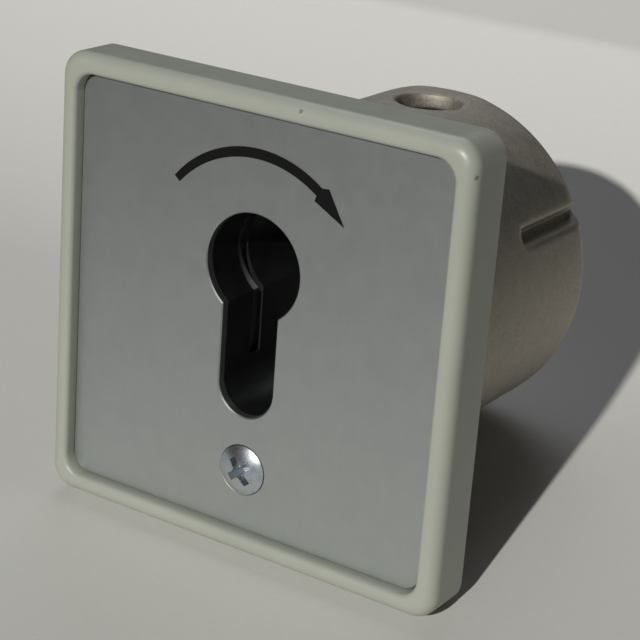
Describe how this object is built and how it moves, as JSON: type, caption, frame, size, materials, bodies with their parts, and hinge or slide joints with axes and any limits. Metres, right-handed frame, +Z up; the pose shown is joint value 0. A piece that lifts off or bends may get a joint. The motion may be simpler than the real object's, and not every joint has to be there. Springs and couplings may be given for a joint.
{
  "type": "flush key switch",
  "caption": "Flush-mounted momentary key switch with a square front, a European profile opening and a round cast housing.",
  "frame": {"origin": "the lock axis, which is the centre of the round part of the profile opening, where it crosses the wall plane at the rear of the front frame", "axes": "+Y into the wall along the lock axis, +X to the right of someone facing the switch, +Z up"},
  "size_m": [0.075, 0.064, 0.075],
  "materials": {
    "painted_frame": "satin light grey paint on a die casting",
    "anodised_plate": "fine vertical brushing, matt anodised",
    "print_black": "screen-printed ink",
    "foam_seal": "closed-cell foam",
    "black_moulding": "moulded, semi-matt",
    "zinc_screw": "blue-passivated zinc plating",
    "cast_housing": "as cast, grainy and matt",
    "machined_plate": "milled",
    "zinc_sheet": "galvanised sheet",
    "steel_pin": "ground spring steel",
    "lever_moulding": "natural acetal",
    "red_button": "moulded",
    "brass_part": "stamped"
  },
  "bodies": {
    "switch_body": {"front_frame": "painted_frame", "front_plate": "anodised_plate", "direction_arrow": "print_black", "plate_gasket": "foam_seal", "wall_gasket": "foam_seal", "profile_collar": "black_moulding", "plate_screw": "zinc_screw", "frame_screws": "zinc_screw", "switch_housing": "cast_housing", "earth_screw": "brass_part", "earth_washer": "brass_part", "carrier_plate": "machined_plate", "carrier_screws": "zinc_screw", "insert_screws": "zinc_screw", "switch_carrier": "black_moulding", "cylinder_screw": "zinc_screw", "switch_bracket": "zinc_sheet", "bracket_screws": "zinc_screw", "lever_pin": "steel_pin", "pin_clip": "steel_pin", "lever_spring": "steel_pin", "microswitch_case": "black_moulding", "microswitch_cover": "black_moulding", "microswitch_screws": "zinc_screw", "leaf_pin": "steel_pin", "common_terminal": "brass_part", "open_terminal": "brass_part", "closed_terminal": "brass_part", "terminal_screws": "zinc_screw", "wire_clamps": "zinc_sheet"},
    "lever": {"cam_lever": "lever_moulding"},
    "leaf": {"switch_leaf": "steel_pin"},
    "plunger": {"switch_plunger": "red_button"},
    "blade": {"snap_blade": "brass_part"}
  },
  "joints": [
    {"name": "lever_turn", "type": "hinge", "parent": "switch_body", "child": "lever", "pos_m": [-0.0185, 0.026, 0.0037], "axis": [0, 1, 0], "range_deg": [0, 12], "stiffness_Nm_per_rad": 0.03, "springref_deg": -17.19, "deforming": ["lever_spring"]},
    {"name": "leaf_turn", "type": "hinge", "parent": "switch_body", "child": "leaf", "pos_m": [0.0132, 0.041, 0.0024], "axis": [0, -1, 0], "range_deg": [0, 4.2]},
    {"name": "plunger_press", "type": "slide", "parent": "switch_body", "child": "plunger", "axis": [0, 0, -1], "range_m": [0, 0.00065]},
    {"name": "blade_turn", "type": "hinge", "parent": "switch_body", "child": "blade", "pos_m": [-0.0074, 0.041, -0.0062], "axis": [0, 1, 0], "range_deg": [0, 3.2]}
  ],
  "couplings": [
    {"joint": "leaf_turn", "follows": "lever_turn", "ratio": 0.325},
    {"joint": "plunger_press", "follows": "lever_turn", "m_per_rad": 0.00285},
    {"joint": "blade_turn", "follows": "lever_turn", "ratio": 0.2408}
  ]
}
